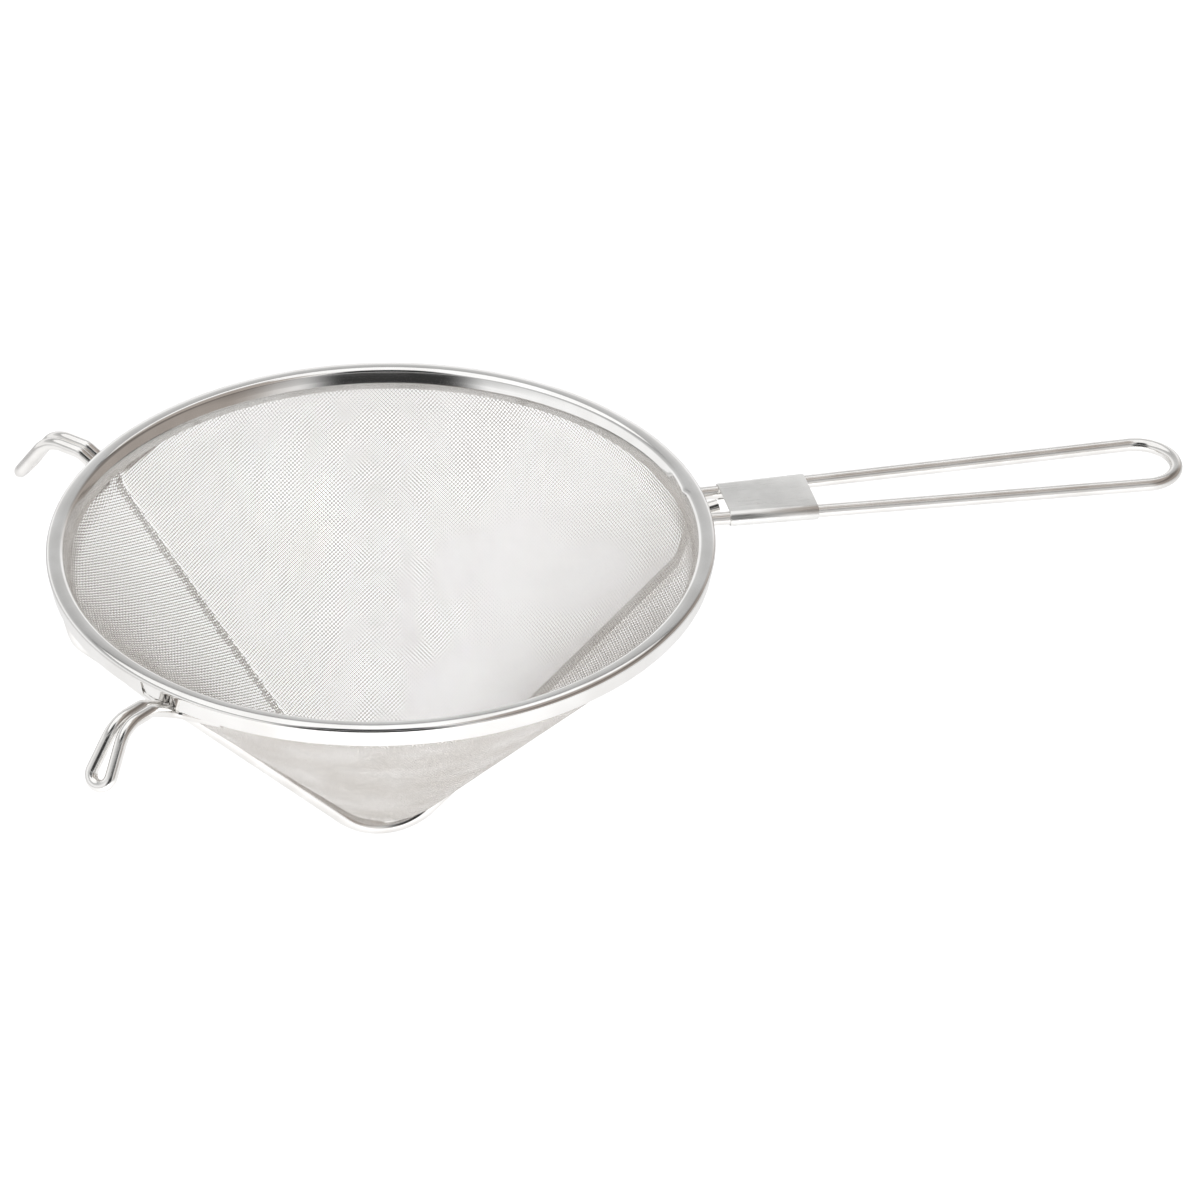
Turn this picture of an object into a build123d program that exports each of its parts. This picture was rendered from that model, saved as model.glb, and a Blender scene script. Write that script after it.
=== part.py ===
from build123d import *
from math import cos, radians, sin, tan
import os

# Chinois strainer in millimetres. The cone axis is Z, the handle points along +X,
# and height zero is the middle of the rolled rim. Sizes named reach, inset or
# outset are measured from the outside of the rim.

# Rim band, section corners before rounding
rim_radius = 100.5
crown_height = 2.5
skirt_inset = 1.4
skirt_height = -4.9
ridge_inset = 5.1
ridge_height = 1.7
flange_inset = 7.6
flange_height = -2.0
lip_inset = 7.8
lip_height = -3.3
band_sheet = 0.5
crown_round = 2.0
ridge_round = 0.9
rim_joint_gap = 0.3
rim_joint_azimuth = 2.8

# Mesh cone, outer face
cone_half_angle = 43.4
cone_tip_radius = 26.0
collar_top_inset = 6.4
collar_top_height = -2.3
collar_base_inset = 8.4
collar_base_height = -10.51
collar_round = 8.0
mesh_thickness = 0.6
seam_azimuth = 135.7
seam_width = 2.8
seam_rise = 0.6
seam_root = 0.3
seam_top_gap = 4.0
seam_low_radius = 12.0
grid_bars_around = 24
grid_rows = 4
grid_bar_width = 3.2
grid_top_gap = 4.6
grid_low_radius = 22.0

# Guard wire under the cone
guard_wire_diameter = 4.8
guard_slope = 44.5
guard_tip_gap = 5.24
guard_tip_bend = 19.4
guard_knee_inset = 7.9
guard_knee_bend = 10.0
guard_end_inset = 4.0
guard_end_height = -2.6
guard_turn_inset = 3.2
guard_turn_height = -4.4
guard_turn_bend = 5.0
guard_sleeve_gap = 0.15

# Rest hooks
hook_wire_diameter = 3.8
hook_leg_offset = 1.93
hook_tip_offset = 3.95
front_hook_azimuth = 218.75
rear_hook_azimuth = 136.1
hook_foot_inset = 6.2
hook_foot_length = 18.0
hook_foot_height = -4.7
hook_heel_inset = 4.0
hook_heel_height = -6.2
hook_heel_bend = 4.5
hook_step_reach = 6.5
hook_step_height = -1.3
hook_step_bend = 4.5
hook_knee_reach = 18.2
hook_knee_height = -0.9
hook_knee_bend = 9.5
hook_tip_reach = 29.2
hook_tip_height = -16.3
hook_tip_bend = 3.5
hook_notch_width = 14.4
hook_notch_shift = 1.6
hook_notch_top = -2.7

# Handle wire and sleeve, measured along the sloping handle
handle_wire_diameter = 4.0
handle_tilt = 2.32
handle_rim_height = -2.47
handle_heel_inset = 3.75
handle_heel_offset = 7.14
handle_heel_bend = 3.0
handle_foot_inset = 5.9
handle_foot_offset = 19.0
handle_reach = 146.9
handle_end_offset = 11.8
handle_end_bend = 11.3
handle_notch_width = 19.8
handle_notch_top = -0.1
sleeve_sheet = 0.5
sleeve_play = 0.05
sleeve_lip_reach = 1.0
sleeve_start = 4.9
sleeve_length = 27.1

# Places that follow from the sizes
channel_middle = rim_radius - guard_end_inset
cone_half = radians(cone_half_angle)
collar_base_radius = rim_radius - collar_base_inset
cone_point_height = collar_base_height - collar_base_radius / tan(cone_half)
tip_centre_height = cone_point_height + cone_tip_radius / sin(cone_half)
tip_low_height = tip_centre_height - cone_tip_radius


def cone_height(radius):
    # Height of the outer face of the cone at a radius
    return cone_point_height + radius / tan(cone_half)


def hook_corners():
    # Corner points of one loop, foot to foot, with the hook pointing along local X
    half = [
        (rim_radius - hook_foot_inset, hook_foot_length, hook_foot_height),
        (rim_radius - hook_heel_inset, hook_leg_offset, hook_heel_height),
        (rim_radius + hook_step_reach, hook_leg_offset, hook_step_height),
        (rim_radius + hook_knee_reach, hook_leg_offset, hook_knee_height),
        (rim_radius + hook_tip_reach, hook_tip_offset, hook_tip_height),
    ]
    far_half = [(x, -y, z) for x, y, z in half]
    return half + far_half[::-1]


def hook_bends():
    half = [hook_heel_bend, hook_step_bend, hook_knee_bend, hook_tip_bend]
    return half + half[::-1]


def leg_spacing(distance):
    # Distance between the two handle legs at a distance outside the rim
    spread = handle_end_offset - handle_heel_offset
    share = (distance + handle_heel_inset) / (handle_reach + handle_heel_inset)
    return 2 * (handle_heel_offset + spread * share)


# The rim band is one folded sheet channel, open downwards
with BuildPart() as rim_band:
    with BuildSketch(Plane.XZ):
        with BuildLine():
            FilletPolyline(
                (rim_radius - skirt_inset, skirt_height),
                (rim_radius, crown_height),
                (rim_radius - ridge_inset, ridge_height),
                (rim_radius - flange_inset, flange_height),
                (rim_radius - lip_inset, lip_height),
                radius=[crown_round, ridge_round, 0],
            )
            offset(amount=band_sheet, side=Side.LEFT)
        make_face()
    revolve(axis=Axis.Z)
    # The butt joint of the band beside the handle
    with BuildSketch(Plane.YZ.rotated((0, 0, rim_joint_azimuth))):
        Rectangle(rim_joint_gap, rim_radius)
    extrude(amount=rim_radius + band_sheet, mode=Mode.SUBTRACT)
    # The cut in the skirt where the handle legs and the guard wire come through
    with BuildSketch(Plane.YZ.offset(channel_middle)):
        with Locations((0, handle_notch_top)):
            Rectangle(handle_notch_width, rim_radius, align=(Align.CENTER, Align.MAX))
    extrude(amount=guard_end_inset + band_sheet, mode=Mode.SUBTRACT)
    # The cuts for the rest hooks, each a little to one side of its hook
    for azimuth in (front_hook_azimuth, rear_hook_azimuth):
        with BuildSketch(Plane.YZ.rotated((0, 0, azimuth)).offset(channel_middle)):
            with Locations((-hook_notch_shift, hook_notch_top)):
                Rectangle(hook_notch_width, rim_radius, align=(Align.CENTER, Align.MAX))
        extrude(amount=guard_end_inset + band_sheet, mode=Mode.SUBTRACT)

rim_band.part.label = "rim_band"

# The woven cone as a thin shell with a round tip and a steep collar. A coarse grid of
# openings stands for the fine weave.
tip_edge_radius = cone_tip_radius * cos(cone_half)
tip_edge_height = tip_centre_height - cone_tip_radius * sin(cone_half)
seam_top_radius = collar_base_radius - seam_top_gap
grid_top_radius = collar_base_radius - grid_top_gap
grid_pitch = (grid_top_radius - grid_low_radius + grid_bar_width) / grid_rows

with BuildPart() as mesh_cone:
    with BuildSketch(Plane.XZ):
        with BuildLine():
            cone_line = FilletPolyline(
                (rim_radius - collar_top_inset, collar_top_height),
                (collar_base_radius, collar_base_height),
                (tip_edge_radius, tip_edge_height),
                radius=collar_round,
            )
            RadiusArc(cone_line @ 1, (0, tip_low_height), cone_tip_radius)
            offset(amount=mesh_thickness, side=Side.RIGHT)
        make_face()
    revolve(axis=Axis.Z)
    # Rings of openings, with a straight bar left between neighbours
    with BuildSketch(Plane.XY.offset(collar_top_height)):
        for row in range(grid_rows):
            row_top = grid_top_radius - row * grid_pitch
            Circle(row_top)
            Circle(row_top - grid_pitch + grid_bar_width, mode=Mode.SUBTRACT)
        with Locations(Rotation(0, 0, seam_azimuth)):
            with PolarLocations(0, grid_bars_around // 2, angular_range=180):
                Rectangle(2 * rim_radius, grid_bar_width, mode=Mode.SUBTRACT)
    extrude(amount=tip_low_height - collar_top_height, mode=Mode.SUBTRACT)
    # The lap seam runs down one generator of the cone
    with BuildSketch(Plane.XZ.rotated((0, 0, seam_azimuth))):
        low = Vector(seam_low_radius, cone_height(seam_low_radius))
        top = Vector(seam_top_radius, cone_height(seam_top_radius))
        outward = Vector(cos(cone_half), -sin(cone_half))
        Polygon(
            low - outward * seam_root,
            top - outward * seam_root,
            top + outward * seam_rise,
            low + outward * seam_rise,
            align=None,
        )
    extrude(amount=seam_width / 2, both=True)

mesh_cone.part.label = "mesh_cone"

# The guard wire runs under the cone. Its far end stands in the rim channel, and
# its other end turns outwards between the handle legs and meets the sleeve.
guard_radius = guard_wire_diameter / 2
guard_low_height = tip_low_height - guard_tip_gap - guard_radius
guard_rise = tan(radians(guard_slope))
guard_point_height = guard_low_height - guard_tip_bend * (1 / cos(radians(guard_slope)) - 1)
guard_knee_radius = rim_radius - guard_knee_inset
guard_knee_height = guard_point_height + guard_knee_radius * guard_rise
guard_stop_reach = sleeve_start - guard_sleeve_gap
guard_stop_height = handle_rim_height - guard_stop_reach * tan(radians(handle_tilt))

with BuildPart() as guard_wire:
    with BuildLine(Plane.XZ) as guard_path:
        FilletPolyline(
            (guard_end_inset - rim_radius, guard_end_height),
            (-guard_knee_radius, guard_knee_height),
            (0, guard_point_height),
            (guard_knee_radius, guard_knee_height),
            (rim_radius - guard_turn_inset, guard_turn_height),
            (rim_radius + guard_stop_reach, guard_stop_height),
            radius=[guard_knee_bend, guard_tip_bend, guard_knee_bend, guard_turn_bend],
        )
    with BuildSketch(guard_path.line ^ 0):
        Circle(guard_radius)
    sweep(path=guard_path.line)

guard_wire.part.label = "guard_wire"

# One bent loop along X serves for both rest hooks, with both feet in the rim channel
with BuildPart() as hook_loop:
    with BuildLine() as hook_path:
        FilletPolyline(*hook_corners(), radius=hook_bends())
    with BuildSketch(hook_path.line ^ 0):
        Circle(hook_wire_diameter / 2)
    sweep(path=hook_path.line)

with BuildPart() as front_rest_hook:
    add(hook_loop.part, rotation=(0, 0, front_hook_azimuth))

front_rest_hook.part.label = "front_rest_hook"

with BuildPart() as rear_rest_hook:
    add(hook_loop.part, rotation=(0, 0, rear_hook_azimuth))

rear_rest_hook.part.label = "rear_rest_hook"

# The handle is one wire loop in a plane that slopes down a little away from the rim
handle_plane = Plane((rim_radius, 0, handle_rim_height)).rotated((0, handle_tilt, 0))

with BuildPart() as handle_wire:
    with BuildLine(handle_plane) as handle_path:
        FilletPolyline(
            (-handle_foot_inset, handle_foot_offset),
            (-handle_heel_inset, handle_heel_offset),
            (handle_reach, handle_end_offset),
            (handle_reach, -handle_end_offset),
            (-handle_heel_inset, -handle_heel_offset),
            (-handle_foot_inset, -handle_foot_offset),
            radius=[handle_heel_bend, handle_end_bend, handle_end_bend, handle_heel_bend],
        )
    with BuildSketch(handle_path.line ^ 0):
        Circle(handle_wire_diameter / 2)
    sweep(path=handle_path.line)

handle_wire.part.label = "handle_wire"

# The sleeve is a sheet curled around both legs, widening with them. Its curled edges
# leave it open underneath between the legs.
sleeve_plane = Plane(handle_plane.origin, x_dir=handle_plane.y_dir, z_dir=handle_plane.x_dir)
sleeve_end = sleeve_start + sleeve_length
sleeve_bore = handle_wire_diameter + 2 * sleeve_play
sleeve_depth = sleeve_bore + 2 * sleeve_sheet

with BuildPart() as handle_sleeve:
    with BuildSketch(sleeve_plane.offset(sleeve_start)):
        SlotCenterToCenter(leg_spacing(sleeve_start), sleeve_depth)
    with BuildSketch(sleeve_plane.offset(sleeve_end)):
        SlotCenterToCenter(leg_spacing(sleeve_end), sleeve_depth)
    loft()
    with BuildSketch(sleeve_plane.offset(sleeve_start)):
        SlotCenterToCenter(leg_spacing(sleeve_start), sleeve_bore)
    with BuildSketch(sleeve_plane.offset(sleeve_end)):
        SlotCenterToCenter(leg_spacing(sleeve_end), sleeve_bore)
    loft(mode=Mode.SUBTRACT)
    half_gap_start = leg_spacing(sleeve_start) / 2 - sleeve_lip_reach
    half_gap_end = leg_spacing(sleeve_end) / 2 - sleeve_lip_reach
    with BuildSketch(handle_plane):
        Polygon(
            (sleeve_start, -half_gap_start),
            (sleeve_end, -half_gap_end),
            (sleeve_end, half_gap_end),
            (sleeve_start, half_gap_start),
            align=None,
        )
    extrude(amount=-sleeve_depth, mode=Mode.SUBTRACT)

handle_sleeve.part.label = "handle_sleeve"

os.makedirs("parts", exist_ok=True)
export_step(rim_band.part, "parts/rim_band.step")
export_step(mesh_cone.part, "parts/mesh_cone.step")
export_step(guard_wire.part, "parts/guard_wire.step")
export_step(front_rest_hook.part, "parts/front_rest_hook.step")
export_step(rear_rest_hook.part, "parts/rear_rest_hook.step")
export_step(handle_wire.part, "parts/handle_wire.step")
export_step(handle_sleeve.part, "parts/handle_sleeve.step")
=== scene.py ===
import math

import bmesh
import bpy
import numpy as np
from mathutils import Matrix, Vector


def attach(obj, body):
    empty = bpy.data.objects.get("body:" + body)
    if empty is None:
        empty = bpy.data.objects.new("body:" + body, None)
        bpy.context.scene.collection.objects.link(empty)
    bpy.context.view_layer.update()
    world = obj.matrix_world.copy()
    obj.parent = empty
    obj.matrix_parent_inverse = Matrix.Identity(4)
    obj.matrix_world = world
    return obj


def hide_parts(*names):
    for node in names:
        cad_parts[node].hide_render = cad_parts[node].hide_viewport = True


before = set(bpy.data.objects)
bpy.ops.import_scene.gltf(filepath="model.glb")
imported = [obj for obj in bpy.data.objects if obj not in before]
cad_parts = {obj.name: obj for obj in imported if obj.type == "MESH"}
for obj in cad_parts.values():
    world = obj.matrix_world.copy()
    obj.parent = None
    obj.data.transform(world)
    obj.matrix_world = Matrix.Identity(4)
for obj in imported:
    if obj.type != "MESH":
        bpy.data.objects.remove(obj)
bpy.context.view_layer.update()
mm = 0.001  # the sizes below are in millimetres, Blender's are in metres
mergeGap = 0.001 * mm  # vertices nearer than this become one
tiny = 1e-9  # keeps lengths that are divided by off zero
print("frame loaded")


# small helpers, used by every piece

def deselectAll():
    if bpy.context.object and bpy.context.object.mode != "OBJECT":
        bpy.ops.object.mode_set(mode="OBJECT")
    bpy.ops.object.select_all(action="DESELECT")


def pick(piece, kind, test):
    # selects the vertices, edges or faces that pass the test, in edit mode
    bpy.ops.mesh.select_mode(type=kind)
    bpy.ops.mesh.select_all(action="DESELECT")
    shape = bmesh.from_edit_mesh(piece.data)
    parts = {"VERT": shape.verts, "EDGE": shape.edges, "FACE": shape.faces}[kind]
    for part in parts:
        if test(part):
            part.select_set(True)
    bmesh.update_edit_mesh(piece.data)


def middle(part):
    # the middle of an edge or face, in millimetres
    return sum((v.co for v in part.verts), Vector()) / len(part.verts) / mm


def mergeDoubles():
    bpy.ops.mesh.select_all(action="SELECT")
    bpy.ops.mesh.remove_doubles(threshold=mergeGap)


def closeSheet(sheet, findFace, outward):
    # merges an open sheet's doubles, and turns it over if the found face looks the wrong way
    mergeDoubles()
    bpy.ops.mesh.normals_make_consistent(inside=False)
    bpy.ops.object.mode_set(mode="OBJECT")
    if findFace(sheet.data.polygons).normal.dot(outward) < 0:
        bpy.ops.object.mode_set(mode="EDIT")
        bpy.ops.mesh.flip_normals()
        bpy.ops.object.mode_set(mode="OBJECT")


def applyModifier(piece, kind, settings):
    added = piece.modifiers.new(kind.lower(), kind)
    for key, value in settings.items():
        setattr(added, key, value)
    bpy.ops.object.modifier_apply(modifier=added.name)


def finishPiece(piece, material, node, smoothAngle):
    deselectAll()
    piece.select_set(True)
    bpy.context.view_layer.objects.active = piece
    bpy.ops.object.shade_smooth_by_angle(angle=math.radians(smoothAngle))
    piece.data.materials.clear()
    piece.data.materials.append(material)
    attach(piece, "root")
    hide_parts(node)


# materials: each has a cloudy colour, and fine marks left by the way the metal was worked

def newMaterial(name):
    material = bpy.data.materials.new(name)
    material.use_nodes = True
    tree = material.node_tree
    return material, tree, tree.nodes["Principled BSDF"]


def link(tree, fromSocket, toSocket):
    tree.links.new(fromSocket, toSocket)


def addNoise(tree, vector, scale, detail):
    noise = tree.nodes.new("ShaderNodeTexNoise")
    noise.inputs["Scale"].default_value = scale
    noise.inputs["Detail"].default_value = detail
    link(tree, vector, noise.inputs["Vector"])
    return noise.outputs["Fac"]


roughnessSpread = (0.3, 0.7)  # noise values that give the lowest and highest roughness
colourSpread = (0.35, 0.65)  # and the darkest and lightest colour


def addRange(tree, value, low, high):
    spread = tree.nodes.new("ShaderNodeMapRange")
    spread.inputs["From Min"].default_value = roughnessSpread[0]
    spread.inputs["From Max"].default_value = roughnessSpread[1]
    spread.inputs["To Min"].default_value = low
    spread.inputs["To Max"].default_value = high
    link(tree, value, spread.inputs["Value"])
    return spread.outputs["Result"]


def addColours(tree, value, *colours):
    ramp = tree.nodes.new("ShaderNodeValToRGB")
    for stop, position, colour in zip(ramp.color_ramp.elements, colourSpread, colours):
        stop.position = position
        stop.color = (*colour, 1)
    link(tree, value, ramp.inputs["Fac"])
    return ramp.outputs["Color"]


def addBump(tree, shader, value, depth, strength):
    bump = tree.nodes.new("ShaderNodeBump")
    bump.inputs["Distance"].default_value = depth * mm
    bump.inputs["Strength"].default_value = strength
    link(tree, value, bump.inputs["Height"])
    link(tree, bump.outputs["Normal"], shader.inputs["Normal"])


def addMapping(tree, vector, scales):
    mapping = tree.nodes.new("ShaderNodeMapping")
    mapping.inputs["Scale"].default_value = scales
    link(tree, vector, mapping.inputs["Vector"])
    return mapping.outputs["Vector"]


def flattened(tree, vector):
    # the vector without its height
    flat = tree.nodes.new("ShaderNodeVectorMath")
    flat.operation = "MULTIPLY"
    flat.inputs[1].default_value = (1, 1, 0)
    link(tree, vector, flat.inputs[0])
    return flat.outputs["Vector"]


def aroundTheRim(tree, vector, angleShare):
    # radius, height and a little of the angle, so that marks run around the band
    radius = tree.nodes.new("ShaderNodeVectorMath")
    radius.operation = "LENGTH"
    link(tree, flattened(tree, vector), radius.inputs[0])
    split = tree.nodes.new("ShaderNodeSeparateXYZ")
    link(tree, vector, split.inputs["Vector"])
    angle = tree.nodes.new("ShaderNodeMath")
    angle.operation = "ARCTAN2"
    link(tree, split.outputs["Y"], angle.inputs[0])
    link(tree, split.outputs["X"], angle.inputs[1])
    slow = tree.nodes.new("ShaderNodeMath")
    slow.operation = "MULTIPLY"
    slow.inputs[1].default_value = angleShare
    link(tree, angle.outputs["Value"], slow.inputs[0])
    join = tree.nodes.new("ShaderNodeCombineXYZ")
    link(tree, radius.outputs["Value"], join.inputs["X"])
    link(tree, slow.outputs["Value"], join.inputs["Y"])
    link(tree, split.outputs["Z"], join.inputs["Z"])
    return join.outputs["Vector"]


def addPattern(tree, pattern):
    vector = tree.nodes.new("ShaderNodeTexCoord").outputs["Object"]
    if "angleShare" in pattern:
        vector = aroundTheRim(tree, vector, pattern["angleShare"])
    vector = addMapping(tree, vector, pattern["stretch"])
    return addNoise(tree, vector, pattern["scale"], pattern["detail"])


def makeSteel(name, look):
    material, tree, shader = newMaterial(name)
    shader.inputs["Metallic"].default_value = look["metallic"]
    patterns = {"marks": addPattern(tree, look["marks"]), "cloud": addPattern(tree, look["cloud"])}
    colour = addColours(tree, patterns["cloud"], look["dark"], look["light"])
    roughness = addRange(tree, patterns[look["roughWith"]], *look["roughness"])
    link(tree, colour, shader.inputs["Base Color"])
    link(tree, roughness, shader.inputs["Roughness"])
    addBump(tree, shader, patterns["marks"], look["markDepth"], look["markStrength"])
    return material


polishedWireLook = {
    "metallic": 1,
    "dark": (0.82, 0.805, 0.785),
    "light": (0.93, 0.92, 0.905),
    "roughness": (0.13, 0.22),
    "roughWith": "cloud",
    "marks": {"stretch": (40, 900, 900), "scale": 1, "detail": 3},  # drawing marks along the handle
    "markDepth": 0.02,
    "markStrength": 0.25,
    "cloud": {"stretch": (1, 1, 1), "scale": 90, "detail": 4},
}
polishedBandLook = {
    "metallic": 1,
    "dark": (0.85, 0.84, 0.825),
    "light": (0.94, 0.935, 0.925),
    "roughness": (0.06, 0.13),
    "roughWith": "marks",
    # rolling lines around the band
    "marks": {"stretch": (2500, 2500, 2500), "scale": 1, "detail": 4, "angleShare": 0.004},
    "markDepth": 0.01,
    "markStrength": 0.2,
    "cloud": {"stretch": (1, 1, 1), "scale": 55, "detail": 4},
}
satinSheetLook = {
    "metallic": 1,
    "dark": (0.82, 0.815, 0.8),
    "light": (0.92, 0.915, 0.9),
    "roughness": (0.26, 0.38),
    "roughWith": "marks",
    "marks": {"stretch": (60, 4000, 1500), "scale": 1, "detail": 3},  # brushing along the handle
    "markDepth": 0.02,
    "markStrength": 0.3,
    "cloud": {"stretch": (1, 1, 1), "scale": 120, "detail": 3},
}
wovenMeshLook = {
    "metallic": 0.76,  # fine drawn wire scatters some of its light
    "dark": (0.79, 0.755, 0.72),
    "light": (0.91, 0.885, 0.86),
    "roughness": (0.17, 0.3),
    "roughWith": "marks",
    "marks": {"stretch": (1, 1, 1), "scale": 2600, "detail": 2},
    "markDepth": 0.01,
    "markStrength": 0.3,
    "cloud": {"stretch": (1, 1, 1), "scale": 45, "detail": 5},
}

polishedWire = makeSteel("polishedWire", polishedWireLook)
polishedBand = makeSteel("polishedBand", polishedBandLook)
satinSheet = makeSteel("satinSheet", satinSheetLook)
wovenMesh = makeSteel("wovenMesh", wovenMeshLook)
print("materials made")


# wires

wireSmoothAngle = 50


def bendWire(name, corners, bends, sizes):
    # a ring is pulled along each straight run and spun round each bend
    points = [Vector(corner) * mm for corner in corners]
    runs = [(b - a).normalized() for a, b in zip(points, points[1:])]
    deselectAll()
    bpy.ops.mesh.primitive_circle_add(
        vertices=sizes["sides"], radius=sizes["thickness"] / 2 * mm,
        location=points[0], rotation=runs[0].to_track_quat("Z", "Y").to_euler())
    wire = bpy.context.object
    wire.name = name
    bpy.ops.object.transform_apply(location=True, rotation=True, scale=True)
    bpy.ops.object.mode_set(mode="EDIT")
    bpy.ops.mesh.select_all(action="SELECT")
    here = points[0]
    for corner, bend, before, after in zip(points[1:-1], bends, runs, runs[1:]):
        turn = before.angle(after)
        cut = bend * mm * math.tan(turn / 2)
        bendStart = corner - before * cut
        bpy.ops.mesh.extrude_region_move(TRANSFORM_OT_translate={"value": bendStart - here})
        axis = before.cross(after).normalized()
        centre = bendStart + axis.cross(before) * bend * mm
        steps = max(2, math.ceil(math.degrees(turn) / sizes["bendStep"]))
        bpy.ops.mesh.spin(steps=steps, angle=-turn, center=centre, axis=axis)
        here = corner + after * cut
    bpy.ops.mesh.extrude_region_move(TRANSFORM_OT_translate={"value": points[-1] - here})
    mergeDoubles()
    bpy.ops.mesh.fill_holes(sides=0)
    bpy.ops.mesh.normals_make_consistent(inside=False)
    bpy.ops.object.mode_set(mode="OBJECT")
    return wire


handleWire = {
    "thickness": 4.0,
    "sides": 32,
    "bendStep": 5,  # degrees
    "tilt": 2.32,
    "rimRadius": 100.5,
    "rimHeight": -2.47,
    # along the handle from the rim, and across it
    "corners": [
        (-5.9, 19.0), (-3.75, 7.14), (146.9, 11.8),
        (146.9, -11.8), (-3.75, -7.14), (-5.9, -19.0),
    ],
    "bends": [3.0, 11.3, 11.3, 3.0],
}


def onHandle(along, across, above):
    # a point measured along the sloping handle from the outside of the rim
    tilt = math.radians(handleWire["tilt"])
    x = handleWire["rimRadius"] + along * math.cos(tilt) + above * math.sin(tilt)
    z = handleWire["rimHeight"] - along * math.sin(tilt) + above * math.cos(tilt)
    return Vector((x, across, z))


def makeHandleWire(sizes):
    corners = [onHandle(along, across, 0) for along, across in sizes["corners"]]
    piece = bendWire("handleWire", corners, sizes["bends"], sizes)
    finishPiece(piece, polishedWire, "handle_wire", wireSmoothAngle)


makeHandleWire(handleWire)

guardWire = {
    "thickness": 4.8,
    "sides": 36,
    "bendStep": 4,
    "corners": [
        (-96.5, 0, -2.6), (-92.6, 0, -20.55), (0, 0, -111.55),
        (92.6, 0, -20.55), (97.3, 0, -4.4), (103.9, 0, -2.96),
    ],
    "bends": [10.0, 19.4, 10.0, 5.0],
}


def makeGuardWire(sizes):
    piece = bendWire("guardWire", sizes["corners"], sizes["bends"], sizes)
    finishPiece(piece, polishedWire, "guard_wire", wireSmoothAngle)


makeGuardWire(guardWire)

restHook = {
    "thickness": 3.8,
    "sides": 28,
    "bendStep": 5,
    # one leg, from inside the rim to the tip; the other mirrors it
    "half": [
        (94.3, 18.0, -5.6), (96.5, 1.93, -7.7), (107.0, 1.93, -1.65),
        (118.7, 1.93, -0.9), (129.7, 3.95, -16.3),
    ],
    "bends": [4.5, 4.5, 9.5, 3.5],
    "azimuths": {"front": 218.75, "rear": 136.1},
}


def makeRestHooks(sizes):
    corners = sizes["half"] + [(x, -y, z) for x, y, z in reversed(sizes["half"])]
    bends = sizes["bends"] + sizes["bends"][::-1]
    for side, azimuth in sizes["azimuths"].items():
        turn = Matrix.Rotation(math.radians(azimuth), 3, "Z")
        turned = [turn @ Vector(corner) for corner in corners]
        piece = bendWire(side + "RestHook", turned, bends, sizes)
        finishPiece(piece, polishedWire, side + "_rest_hook", wireSmoothAngle)


makeRestHooks(restHook)
print("wires bent")


# sleeve: a flat sheet, its long edges curled round the handle legs

handleSleeve = {
    "start": 4.9,
    "length": 27.1,
    "inner": 2.06,
    "sheet": 0.5,
    "curl": 180.0,
    "curlSteps": 14,
    "lip": 1.0,
    "sidesFrom": 5,  # the long edges lie further across than this
    "levelGap": 0.3,
    "edgeRound": 0.1,
    "roundFrom": 50,  # degrees
    "smoothAngle": 35,
}


def legOffset(along):
    first, last = handleWire["corners"][1], handleWire["corners"][2]
    return first[1] + (last[1] - first[1]) * (along - first[0]) / (last[0] - first[0])


def makeHandleSleeve(sizes):
    start, end = sizes["start"], sizes["start"] + sizes["length"]
    deselectAll()
    bpy.ops.mesh.primitive_plane_add(size=1)
    sleeve = bpy.context.object
    sleeve.name = "handleSleeve"
    for vertex in sleeve.data.vertices:
        along = end if vertex.co.x > 0 else start
        across = math.copysign(legOffset(along), vertex.co.y)
        vertex.co = onHandle(along, across, sizes["inner"]) * mm
    bpy.ops.object.mode_set(mode="EDIT")
    level = onHandle(start + sizes["length"] / 2, 0, sizes["inner"]).z
    for side in (-1, 1):
        def onSide(edge):
            outside = all(v.co.y * side > sizes["sidesFrom"] * mm for v in edge.verts)
            return outside and abs(middle(edge).z - level) < sizes["levelGap"]

        pick(sleeve, "EDGE", onSide)
        nearEnd = onHandle(start, side * legOffset(start), 0) * mm
        farEnd = onHandle(end, side * legOffset(end), 0) * mm
        axis = (farEnd - nearEnd).normalized()
        turn = math.radians(sizes["curl"]) * side
        bpy.ops.mesh.spin(steps=sizes["curlSteps"], angle=turn, center=nearEnd, axis=axis)
        inward = Vector((0, -side * sizes["lip"] * mm, 0))
        bpy.ops.mesh.extrude_region_move(TRANSFORM_OT_translate={"value": inward})
    closeSheet(sleeve, lambda faces: faces[0], Vector((0, 0, 1)))
    applyModifier(sleeve, "SOLIDIFY", {"thickness": sizes["sheet"] * mm, "offset": 1})
    applyModifier(sleeve, "BEVEL", {
        "width": sizes["edgeRound"] * mm, "segments": 2,
        "angle_limit": math.radians(sizes["roundFrom"])})
    finishPiece(sleeve, satinSheet, "handle_sleeve", sizes["smoothAngle"])


makeHandleSleeve(handleSleeve)
print("sleeve curled")


# rim band: one ring pulled into the folded section, then cut for the wires

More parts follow.
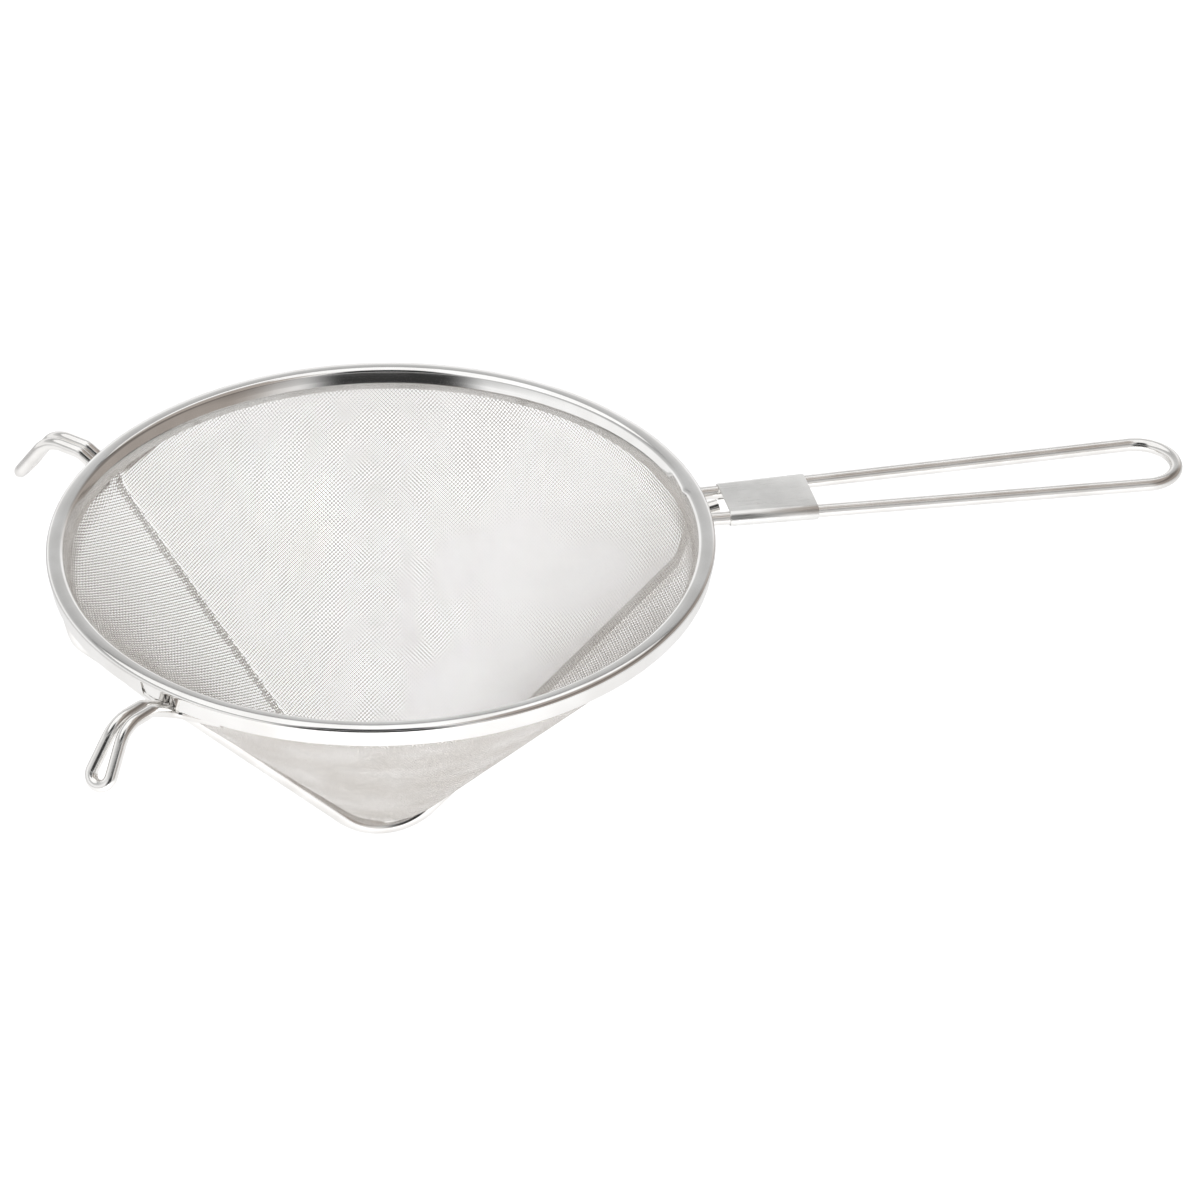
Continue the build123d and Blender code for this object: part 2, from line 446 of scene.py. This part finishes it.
rimBand = {
    "segments": 360,
    # radius, height and how far from each corner its rounding starts
    "rings": [
        (99.1, -4.9, 0), (100.2, 1.05, 1.3), (97.9, 1.62, 1.0),
        (95.15, 1.45, 1.0), (93.35, -1.8, 1.0), (92.8, -4.3, 0),
    ],
    "roundSteps": 10,
    "sheet": 0.5,
    "smoothAngle": 28,
    "skirtRadius": 97,  # faces further out than this may be cut for the wires
    "skirtTop": 0.3,
    "closeTo": 0.01,
    "angleMargin": 0.1,  # degrees
    "cutReach": 2,
    # the cut for the handle legs and the guard wire, and the faces around it
    "handleCut": {"half": 9.9, "top": -0.1, "facesWithin": 16, "facesBelow": 0.6},
    # where each cut over a hook starts and ends, and its two slits, in degrees
    "hookCuts": [(213.7, 221.2, 0.5, 0.7), (131.05, 138.55, 0.5, 0.5)],
    "tab": {"end": -4.5, "bend": 0.6, "radius": 99.3},
    # the ridge is shifted inward over some degrees on one side of the joint
    "joint": {"azimuth": 2, "spread": 7, "shift": 0.9, "radius": 95.15, "width": 1.3},
}


def resizeAcross(scale):
    bpy.ops.transform.resize(value=(scale, scale, 1), center_override=(0, 0, 0))


def pullRing(radius, height, fromRadius, fromHeight):
    rise = (0, 0, (height - fromHeight) * mm)
    bpy.ops.mesh.extrude_region_move(TRANSFORM_OT_translate={"value": rise})
    resizeAcross(radius / fromRadius)


def azimuthOf(point):
    return math.degrees(math.atan2(point.y, point.x)) % 360


def onSkirt(place):
    return math.hypot(place.x, place.y) > rimBand["skirtRadius"]


def cutAcross(piece, azimuth):
    # a radial cut through the skirt's faces near an azimuth
    def near(face):
        place = middle(face)
        away = abs((azimuthOf(place) - azimuth + 180) % 360 - 180)
        return away < rimBand["cutReach"] and place.z < rimBand["skirtTop"] and onSkirt(place)

    pick(piece, "FACE", near)
    side = math.radians(azimuth)
    bpy.ops.mesh.bisect(plane_co=(0, 0, 0), plane_no=(-math.sin(side), math.cos(side), 0))


def cutLevel(piece, height, test):
    pick(piece, "FACE", test)
    bpy.ops.mesh.bisect(plane_co=(0, 0, height * mm), plane_no=(0, 0, 1))


def foldBand(sizes):
    rings = sizes["rings"]
    deselectAll()
    bpy.ops.mesh.primitive_circle_add(
        vertices=sizes["segments"], radius=rings[0][0] * mm, location=(0, 0, rings[0][1] * mm))
    band = bpy.context.object
    band.name = "rimBand"
    bpy.ops.object.transform_apply(location=True, rotation=True, scale=True)
    bpy.ops.object.mode_set(mode="EDIT")
    bpy.ops.mesh.select_all(action="SELECT")
    for (fromRadius, fromHeight, _), (radius, height, _) in zip(rings, rings[1:]):
        pullRing(radius, height, fromRadius, fromHeight)
    for radius, height, rounding in rings[1:-1]:
        def isAt(vertex):
            away = math.hypot(vertex.co.x, vertex.co.y) - radius * mm
            return math.hypot(away, vertex.co.z - height * mm) < sizes["closeTo"] * mm

        pick(band, "EDGE", lambda edge: all(isAt(v) for v in edge.verts))
        bpy.ops.mesh.bevel(
            offset=rounding * mm, segments=sizes["roundSteps"], profile=0.5, affect="EDGES")
    return band


def cutForHandle(band, sizes):
    cut = sizes["handleCut"]

    def around(face):
        place = middle(face)
        inReach = abs(place.y) < cut["facesWithin"] and place.z < cut["facesBelow"]
        return place.x > sizes["skirtRadius"] and inReach

    def insideCut(face):
        place = middle(face)
        inCut = abs(place.y) < cut["half"] and place.z < cut["top"]
        return place.x > sizes["skirtRadius"] and inCut

    for side in (-1, 1):
        pick(band, "FACE", around)
        bpy.ops.mesh.bisect(plane_co=(0, side * cut["half"] * mm, 0), plane_no=(0, 1, 0))
    cutLevel(band, cut["top"], around)
    pick(band, "FACE", insideCut)
    bpy.ops.mesh.delete(type="FACE")


def cutForHook(band, sizes, first, last, firstSlit, lastSlit):
    # two slits leave a tab over the hook, which is pressed inward
    tab, margin = sizes["tab"], sizes["angleMargin"]
    tabFirst, tabLast = first + firstSlit, last - lastSlit
    for azimuth in (first, tabFirst, tabLast, last):
        cutAcross(band, azimuth)

    def overHook(face):
        place = middle(face)
        inReach = first - margin < azimuthOf(place) < last + margin
        return inReach and place.z < sizes["skirtTop"] and onSkirt(place)

    def cutAway(face):
        place = middle(face)
        azimuth = azimuthOf(place)
        onTab = tabFirst < azimuth < tabLast and place.z > tab["end"]
        return first < azimuth < last and place.z < 0 and onSkirt(place) and not onTab

    def onTabEnd(vertex):
        place = vertex.co / mm
        inReach = tabFirst - margin < azimuthOf(place) < tabLast + margin
        return inReach and abs(place.z - tab["end"]) < sizes["closeTo"] and onSkirt(place)

    cutLevel(band, tab["end"], overHook)
    pick(band, "FACE", cutAway)
    bpy.ops.mesh.delete(type="FACE")
    pick(band, "VERT", onTabEnd)
    resizeAcross(1 - tab["bend"] / tab["radius"])


def shiftJoint(band, sizes):
    # the band's ends meet beside the handle, one edge of the ridge a little further in
    joint, margin = sizes["joint"], sizes["angleMargin"]
    for step in range(1, joint["spread"] + 1):
        def onRidge(vertex):
            away = abs(azimuthOf(vertex.co) - joint["azimuth"] - step)
            fromRidge = abs(vertex.co.xy.length / mm - joint["radius"])
            return away < margin and fromRidge < joint["width"] and vertex.co.z > 0

        pick(band, "VERT", onRidge)
        share = 1 - step / (joint["spread"] + 1)
        resizeAcross(1 - joint["shift"] * share / joint["radius"])


def makeRimBand(sizes):
    band = foldBand(sizes)
    cutForHandle(band, sizes)
    for hookCut in sizes["hookCuts"]:
        cutForHook(band, sizes, *hookCut)
    shiftJoint(band, sizes)
    closeSheet(band, lambda faces: max(faces, key=lambda face: face.center.x), Vector((1, 0, 0)))
    applyModifier(band, "SOLIDIFY", {
        "thickness": sizes["sheet"] * mm, "offset": -1, "use_even_offset": True})
    finishPiece(band, polishedBand, "rim_band", sizes["smoothAngle"])


makeRimBand(rimBand)
print("rim band folded")


# woven cone: a flat sector of plain weave rolled into the cone, with a lap seam

wovenCone = {
    "pitch": 0.9075,
    # in pitches: a crossing further than this from the next, or from the one after, is across the seam
    "longestStep": 1.6,
    "longestPair": 3,
    "wire": 0.25,
    "wireSides": 3,
    "wireGirth": 0.605,  # three corners this far out, in wires, are as long round as a round wire
    "halfAngle": 43.4,
    # the outside of the wall where the cone meets the collar, and at its top
    "baseRadius": 92.1,
    "baseHeight": -10.51,
    "topRadius": 94.6,
    "topHeight": -2.6,
    "collarBend": 8.0,
    "collarSteps": 12,
    "tipRadius": 26.0,
    "tipSteps": 40,
    "tipGap": 1.2,  # the flat sheet's point is left out
    "seamAzimuth": 135.7,
    "squareAzimuth": 76.9,  # here the weave stands square on the slope
    "lap": 2.8,
    "lapRise": 0.62,
    "lapEase": 1.2,
    "seamShift": (6.1, -0.038),  # the sheet's edges aren't quite radial
    "parts": 5,
    "smoothAngle": 180,
}


def coneProfile(sizes):
    # distance from the flat sheet's point, and the radius and height of the sheet's middle there
    half = math.radians(sizes["halfAngle"])
    inside = sizes["wire"]
    baseRadius = sizes["baseRadius"] - inside * math.cos(half)
    baseHeight = sizes["baseHeight"] + inside * math.sin(half)
    tip = sizes["tipRadius"] - inside
    pointHeight = baseHeight - baseRadius / math.tan(half)
    centreHeight = pointHeight + tip / math.sin(half)
    domeSlant = tip / math.tan(half)
    domeTurn = math.pi / 2 - half
    points = []
    for step in range(sizes["tipSteps"] + 1):
        share = step / sizes["tipSteps"]
        angle = share * domeTurn
        height = centreHeight - tip * math.cos(angle)
        points.append((share * domeSlant, tip * math.sin(angle), height))
    base = Vector((baseRadius, baseHeight))
    top = Vector((sizes["topRadius"] - inside, sizes["topHeight"]))
    coneRun = Vector((math.sin(half), math.cos(half)))
    collarRun = (top - base).normalized()
    turn = coneRun.angle(collarRun)
    bend = sizes["collarBend"]
    coneEnd = base - coneRun * bend * math.tan(turn / 2)
    slant = coneEnd.x / math.sin(half)
    points.append((slant, coneEnd.x, coneEnd.y))
    centre = coneEnd + Vector((-coneRun.y, coneRun.x)) * bend
    for step in range(1, sizes["collarSteps"] + 1):
        angle = turn * step / sizes["collarSteps"]
        arm = Matrix.Rotation(angle, 2) @ Vector((coneRun.y, -coneRun.x))
        spot = centre + arm * bend
        points.append((slant + bend * angle, spot.x, spot.y))
    last = Vector(points[-1][1:])
    points.append((points[-1][0] + (top - last).length, top.x, top.y))
    return np.array(points)


def rollSheet(sizes, profile, x, y):
    # points of the flat sheet, in millimetres, laid on the cone; also their outward normals,
    # whether they are on the sheet, and their share of the way round
    sector = 2 * math.pi * math.sin(math.radians(sizes["halfAngle"]))
    slants, radii, heights = profile.T
    distance = np.hypot(x, y)
    startMargin = 0.3  # points a little before the sheet's start get an angle below zero
    angle = np.mod(np.arctan2(y, x) + startMargin, 2 * math.pi) - startMargin
    azimuth = math.radians(sizes["seamAzimuth"]) + angle / sector * 2 * math.pi
    radius = np.interp(distance, slants, radii)
    height = np.interp(distance, slants, heights)
    reach = 0.4  # the slope is taken between points this far up and down the wall
    above, below = distance + reach, distance - reach
    slopeR = np.interp(above, slants, radii) - np.interp(below, slants, radii)
    slopeZ = np.interp(above, slants, heights) - np.interp(below, slants, heights)
    size = np.maximum(np.hypot(slopeR, slopeZ), tiny)
    outR, outZ = slopeZ / size, -slopeR / size
    normal = np.stack([outR * np.cos(azimuth), outR * np.sin(azimuth), outZ], -1)
    shift = sizes["seamShift"][0] + sizes["seamShift"][1] * distance
    # how far a point lies beyond the sheet's end, over its start
    past = (angle - sector) * distance - shift
    rise = np.clip(past / sizes["lapEase"] + 1.0, 0, 1)
    rise = rise * rise * (3 - 2 * rise) * sizes["lapRise"]
    place = np.stack([radius * np.cos(azimuth), radius * np.sin(azimuth), height], -1)
    place = place + normal * rise[..., None]
    inside = (distance < slants[-1]) & (distance > sizes["tipGap"])
    inside = inside & (angle * distance >= shift) & (past <= sizes["lap"])
    return place, normal, inside, angle / sector


def weaveFamily(sizes, profile, first, second, lift):
    # wires along the first direction, one for each step of the second, waved over and under
    pitch = sizes["pitch"]
    reach = int(profile[-1, 0] / pitch) + 2
    count = np.arange(-reach, reach + 1)
    i, j = np.meshgrid(count, count, indexing="ij")
    x = (i * first[0] + j * second[0]) * pitch
    y = (i * first[1] + j * second[1]) * pitch
    place, normal, inside, share = rollSheet(sizes, profile, x, y)
    forward = np.zeros_like(place)
    forward[:-1] = place[1:] - place[:-1]
    backward = np.zeros_like(place)
    backward[1:] = forward[:-1]
    both = np.zeros_like(place)
    both[1:-1] = place[2:] - place[:-2]
    farApart = np.linalg.norm(both, axis=-1, keepdims=True) > pitch * sizes["longestPair"]
    both = np.where(farApart, 0, both)
    # a piece of wire runs from here to the next crossing, unless the sheet ends between them
    usable = np.zeros_like(inside)
    nextNear = np.linalg.norm(forward[:-1], axis=-1) < pitch * sizes["longestStep"]
    usable[:-1] = inside[:-1] & inside[1:] & nextNear
    before = np.zeros_like(usable)
    before[1:] = usable[:-1]
    direction = np.where(usable[..., None], forward, backward)
    direction = np.where((usable & before)[..., None], both, direction)
    length = np.maximum(np.linalg.norm(direction, axis=-1, keepdims=True), tiny)
    side = np.cross(direction / length, normal)
    wave = np.where((i + j) % 2 == 0, 1, -1) * lift * sizes["wire"] / 2
    centre = place + normal * wave[..., None]
    rings = []
    for corner in range(sizes["wireSides"]):
        turn = math.radians(90 + 360 / sizes["wireSides"] * corner)
        arm = normal * math.sin(turn) + side * math.cos(turn)
        rings.append(centre + arm * sizes["wire"] * sizes["wireGirth"])
    return np.stack(rings, 2) * mm, usable, share


def meshFrom(name, points, faces):
    # a weave has too many wires to pull one by one, so its mesh is filled in directly
    shape = bpy.data.meshes.new(name)
    shape.vertices.add(len(points))
    shape.vertices.foreach_set("co", points.astype(np.float32).ravel())
    shape.loops.add(faces.size)
    shape.loops.foreach_set("vertex_index", faces.astype(np.int32).ravel())
    shape.polygons.add(len(faces))
    starts = np.arange(0, faces.size, faces.shape[1], dtype=np.int32)
    shape.polygons.foreach_set("loop_start", starts)
    shape.update(calc_edges=True)
    piece = bpy.data.objects.new(name, shape)
    bpy.context.scene.collection.objects.link(piece)
    return piece


def weavePart(sizes, families, part):
    # the wires in one share of the way round
    sides, parts = sizes["wireSides"], sizes["parts"]
    points, faces, count = [], [], 0
    for rings, usable, share in families:
        here = usable & (share >= part / parts)
        if part < parts - 1:
            here = here & (share < (part + 1) / parts)
        startI, startJ = np.nonzero(here)
        needed = np.zeros_like(here)
        needed[startI, startJ] = True
        needed[startI + 1, startJ] = True
        number = np.full(here.shape, -1)
        number[needed] = np.arange(needed.sum()) * sides + count
        points.append(rings[needed].reshape(-1, 3))
        a, b = number[startI, startJ], number[startI + 1, startJ]
        for corner in range(sides):
            after = (corner + 1) % sides
            faces.append(np.stack([a + corner, b + corner, b + after, a + after], 1))
        count += needed.sum() * sides
    return np.concatenate(points), np.concatenate(faces)


def makeWovenCone(sizes):
    profile = coneProfile(sizes)
    sector = math.degrees(2 * math.pi * math.sin(math.radians(sizes["halfAngle"])))
    squareAt = ((sizes["squareAzimuth"] - sizes["seamAzimuth"]) % 360) / 360 * sector
    # the two ways that wires run, half a right angle each side of the slope
    first, second = [
        (math.cos(math.radians(squareAt + side)), math.sin(math.radians(squareAt + side)))
        for side in (-45, 45)]
    families = [
        weaveFamily(sizes, profile, first, second, 1),
        weaveFamily(sizes, profile, second, first, -1),
    ]
    for part in range(sizes["parts"]):
        points, faces = weavePart(sizes, families, part)
        piece = meshFrom(f"wovenCone{part + 1}", points, faces)
        finishPiece(piece, wovenMesh, "mesh_cone", sizes["smoothAngle"])
        print("woven part", part + 1, len(faces) * 2, "triangles")


makeWovenCone(wovenCone)
print("mesh woven")


# studio: white all round, and a dark stretch on the camera's side that only reflections see

studio = {
    "floorHeight": -0.32,
    "floorSize": 30,
    "floorColour": 0.95,
    "floorRoughness": 0.9,
    "floorGloss": 0.1,
    "floorGlow": {"seen": 0.75, "given": 0.3},  # a lit table, brighter to the camera than to the part
    "ambient": 0.25,
    "darkAzimuth": -107,
    "darkHalf": 26,
    "darkEdge": 9,
    "warmAzimuth": -12,
    "warmHalf": 52,
    "warmEdge": 18,
    "warmTop": 0.96,
    "warm": (0.38, 0.34, 0.31),
    # brightness at each height above the horizon, in degrees: behind and beside the part
    "around": [
        (0, 1.0), (19, 1.0), (25, 0.68), (34, 0.56), (42, 0.46),
        (43, 0.2), (44, 0.2), (46, 1.1), (90, 1.1),
    ],
    # and on the camera's side
    "cameraSide": [
        (0, 0.04), (29, 0.04), (32, 0.5), (36, 0.5), (39, 0.04),
        (70, 0.03), (78, 1.1), (90, 1.1),
    ],
}


def grey(level):
    return (level, level, level, 1)


def makeFloor(look):
    deselectAll()
    bpy.ops.mesh.primitive_plane_add(size=look["floorSize"], location=(0, 0, look["floorHeight"]))
    floor = bpy.context.object
    floor.name = "floor"
    bpy.ops.object.transform_apply(location=True, rotation=True, scale=True)
    material, tree, shader = newMaterial("floorPaper")
    shader.inputs["Roughness"].default_value = look["floorRoughness"]
    shader.inputs["Specular IOR Level"].default_value = look["floorGloss"]
    shader.inputs["Base Color"].default_value = grey(look["floorColour"])
    shader.inputs["Emission Color"].default_value = grey(1)
    rays = tree.nodes.new("ShaderNodeLightPath")
    glow = tree.nodes.new("ShaderNodeMapRange")
    glow.inputs["To Min"].default_value = look["floorGlow"]["given"]
    glow.inputs["To Max"].default_value = look["floorGlow"]["seen"]
    link(tree, rays.outputs["Is Camera Ray"], glow.inputs["Value"])
    link(tree, glow.outputs["Result"], shader.inputs["Emission Strength"])
    floor.data.materials.append(material)


def towardAzimuth(tree, direction, azimuth, half, edge):
    # 1 within a sector of directions about an azimuth, fading to 0 at its sides
    level = tree.nodes.new("ShaderNodeVectorMath")
    level.operation = "NORMALIZE"
    link(tree, flattened(tree, direction), level.inputs[0])
    toward = tree.nodes.new("ShaderNodeVectorMath")
    toward.operation = "DOT_PRODUCT"
    side = math.radians(azimuth)
    toward.inputs[1].default_value = (math.cos(side), math.sin(side), 0)
    link(tree, level.outputs["Vector"], toward.inputs[0])
    near = tree.nodes.new("ShaderNodeMapRange")
    near.interpolation_type = "SMOOTHSTEP"
    near.inputs["From Min"].default_value = math.cos(math.radians(half + edge))
    near.inputs["From Max"].default_value = math.cos(math.radians(half - edge))
    link(tree, toward.outputs["Value"], near.inputs["Value"])
    return near.outputs["Result"]


def byHeight(tree, height, levels):
    ramp = tree.nodes.new("ShaderNodeValToRGB")
    stops = ramp.color_ramp.elements
    while len(stops) < len(levels):
        stops.new(0.5)
    for stop, (angle, brightness) in zip(stops, levels):
        stop.position = math.sin(math.radians(angle))
        stop.color = grey(brightness)
    link(tree, height, ramp.inputs["Fac"])
    return ramp.outputs["Color"]


def mixColours(tree, share, first, second, blend="MIX"):
    # the first and second are sockets or plain colours
    mix = tree.nodes.new("ShaderNodeMix")
    mix.data_type = "RGBA"
    mix.blend_type = blend
    link(tree, share, mix.inputs["Factor"])
    colourSockets = [socket for socket in mix.inputs if socket.type == "RGBA"]
    for socket, colour in zip(colourSockets, (first, second)):
        if isinstance(colour, tuple):
            socket.default_value = colour
        else:
            link(tree, colour, socket)
    return [socket for socket in mix.outputs if socket.type == "RGBA"][0]


def makeWorld(look):
    world = bpy.data.worlds.new("studio")
    bpy.context.scene.world = world
    world.use_nodes = True
    tree = world.node_tree
    direction = tree.nodes.new("ShaderNodeTexCoord").outputs["Generated"]
    split = tree.nodes.new("ShaderNodeSeparateXYZ")
    link(tree, direction, split.inputs["Vector"])
    height = split.outputs["Z"]
    cameraSide = towardAzimuth(tree, direction, look["darkAzimuth"], look["darkHalf"], look["darkEdge"])
    around = byHeight(tree, height, look["around"])
    mirrored = mixColours(tree, cameraSide, around, byHeight(tree, height, look["cameraSide"]))
    # warmer and dimmer to the right of the dark stretch, up to nearly overhead
    low = tree.nodes.new("ShaderNodeMath")
    low.operation = "LESS_THAN"
    low.inputs[1].default_value = look["warmTop"]
    link(tree, height, low.inputs[0])
    warmSide = towardAzimuth(tree, direction, look["warmAzimuth"], look["warmHalf"], look["warmEdge"])
    warm = tree.nodes.new("ShaderNodeMath")
    warm.operation = "MULTIPLY"
    link(tree, low.outputs["Value"], warm.inputs[0])
    link(tree, warmSide, warm.inputs[1])
    # mirror-like rays see the bands, the camera white, and other rays an even light
    rays = tree.nodes.new("ShaderNodeLightPath")
    seen = mixColours(tree, rays.outputs["Is Glossy Ray"], grey(look["ambient"]), mirrored)
    tinted = mixColours(tree, warm.outputs["Value"], seen, (*look["warm"], 1), "MULTIPLY")
    colour = mixColours(tree, rays.outputs["Is Camera Ray"], tinted, grey(1))
    link(tree, colour, tree.nodes["Background"].inputs["Color"])


softLights = [
    {"name": "topSoft", "place": (-0.4, 0.3, 1.9), "size": 1.6, "power": 5},
    {"name": "sideSoft", "place": (-0.35, -1.7, 0.9), "size": 1.4, "power": 40},
]


def addSoftLight(look):
    place = Vector(look["place"])
    turned = (-place).to_track_quat("-Z", "Y").to_euler()
    bpy.ops.object.light_add(type="AREA", location=place, rotation=turned)
    lamp = bpy.context.object
    lamp.name = look["name"]
    lamp.data.shape = "DISK"
    lamp.data.size = look["size"]
    lamp.data.energy = look["power"]
    lamp.visible_glossy = False  # the world gives the reflections


# the photograph's view
cameraLook = {
    "elevation": 33.844,
    "azimuth": -103.139,
    "roll": -0.217,
    "distance": 2.293006,
    "right": -0.065376,  # how far the rim's middle stands from the picture's middle
    "up": 0.017145,
    "lens": 230.407,
    "sensor": 36,
    "farthest": 60,
}


def addCamera(look):
    tilt = math.radians(look["elevation"])
    turn = math.radians(look["azimuth"])
    towardCamera = (math.cos(tilt) * math.cos(turn), math.cos(tilt) * math.sin(turn), math.sin(tilt))
    forward = -Vector(towardCamera)
    right = forward.cross(Vector((0, 0, 1))).normalized()
    up = right.cross(forward)
    spin = Matrix.Rotation(math.radians(look["roll"]), 3, -forward)
    right, up = spin @ right, spin @ up
    place = -forward * look["distance"] - right * look["right"] - up * look["up"]
    turned = Matrix((right, up, -forward)).transposed().to_4x4()
    bpy.ops.object.camera_add(location=place, rotation=turned.to_euler())
    camera = bpy.context.object
    camera.name = "photoCamera"
    camera.data.sensor_width = look["sensor"]
    camera.data.lens = look["lens"]
    camera.data.clip_end = look["farthest"]
    bpy.context.scene.camera = camera


makeFloor(studio)
makeWorld(studio)
for softLight in softLights:
    addSoftLight(softLight)
addCamera(cameraLook)
bpy.context.scene.view_settings.view_transform = "Standard"
print("studio and camera set")
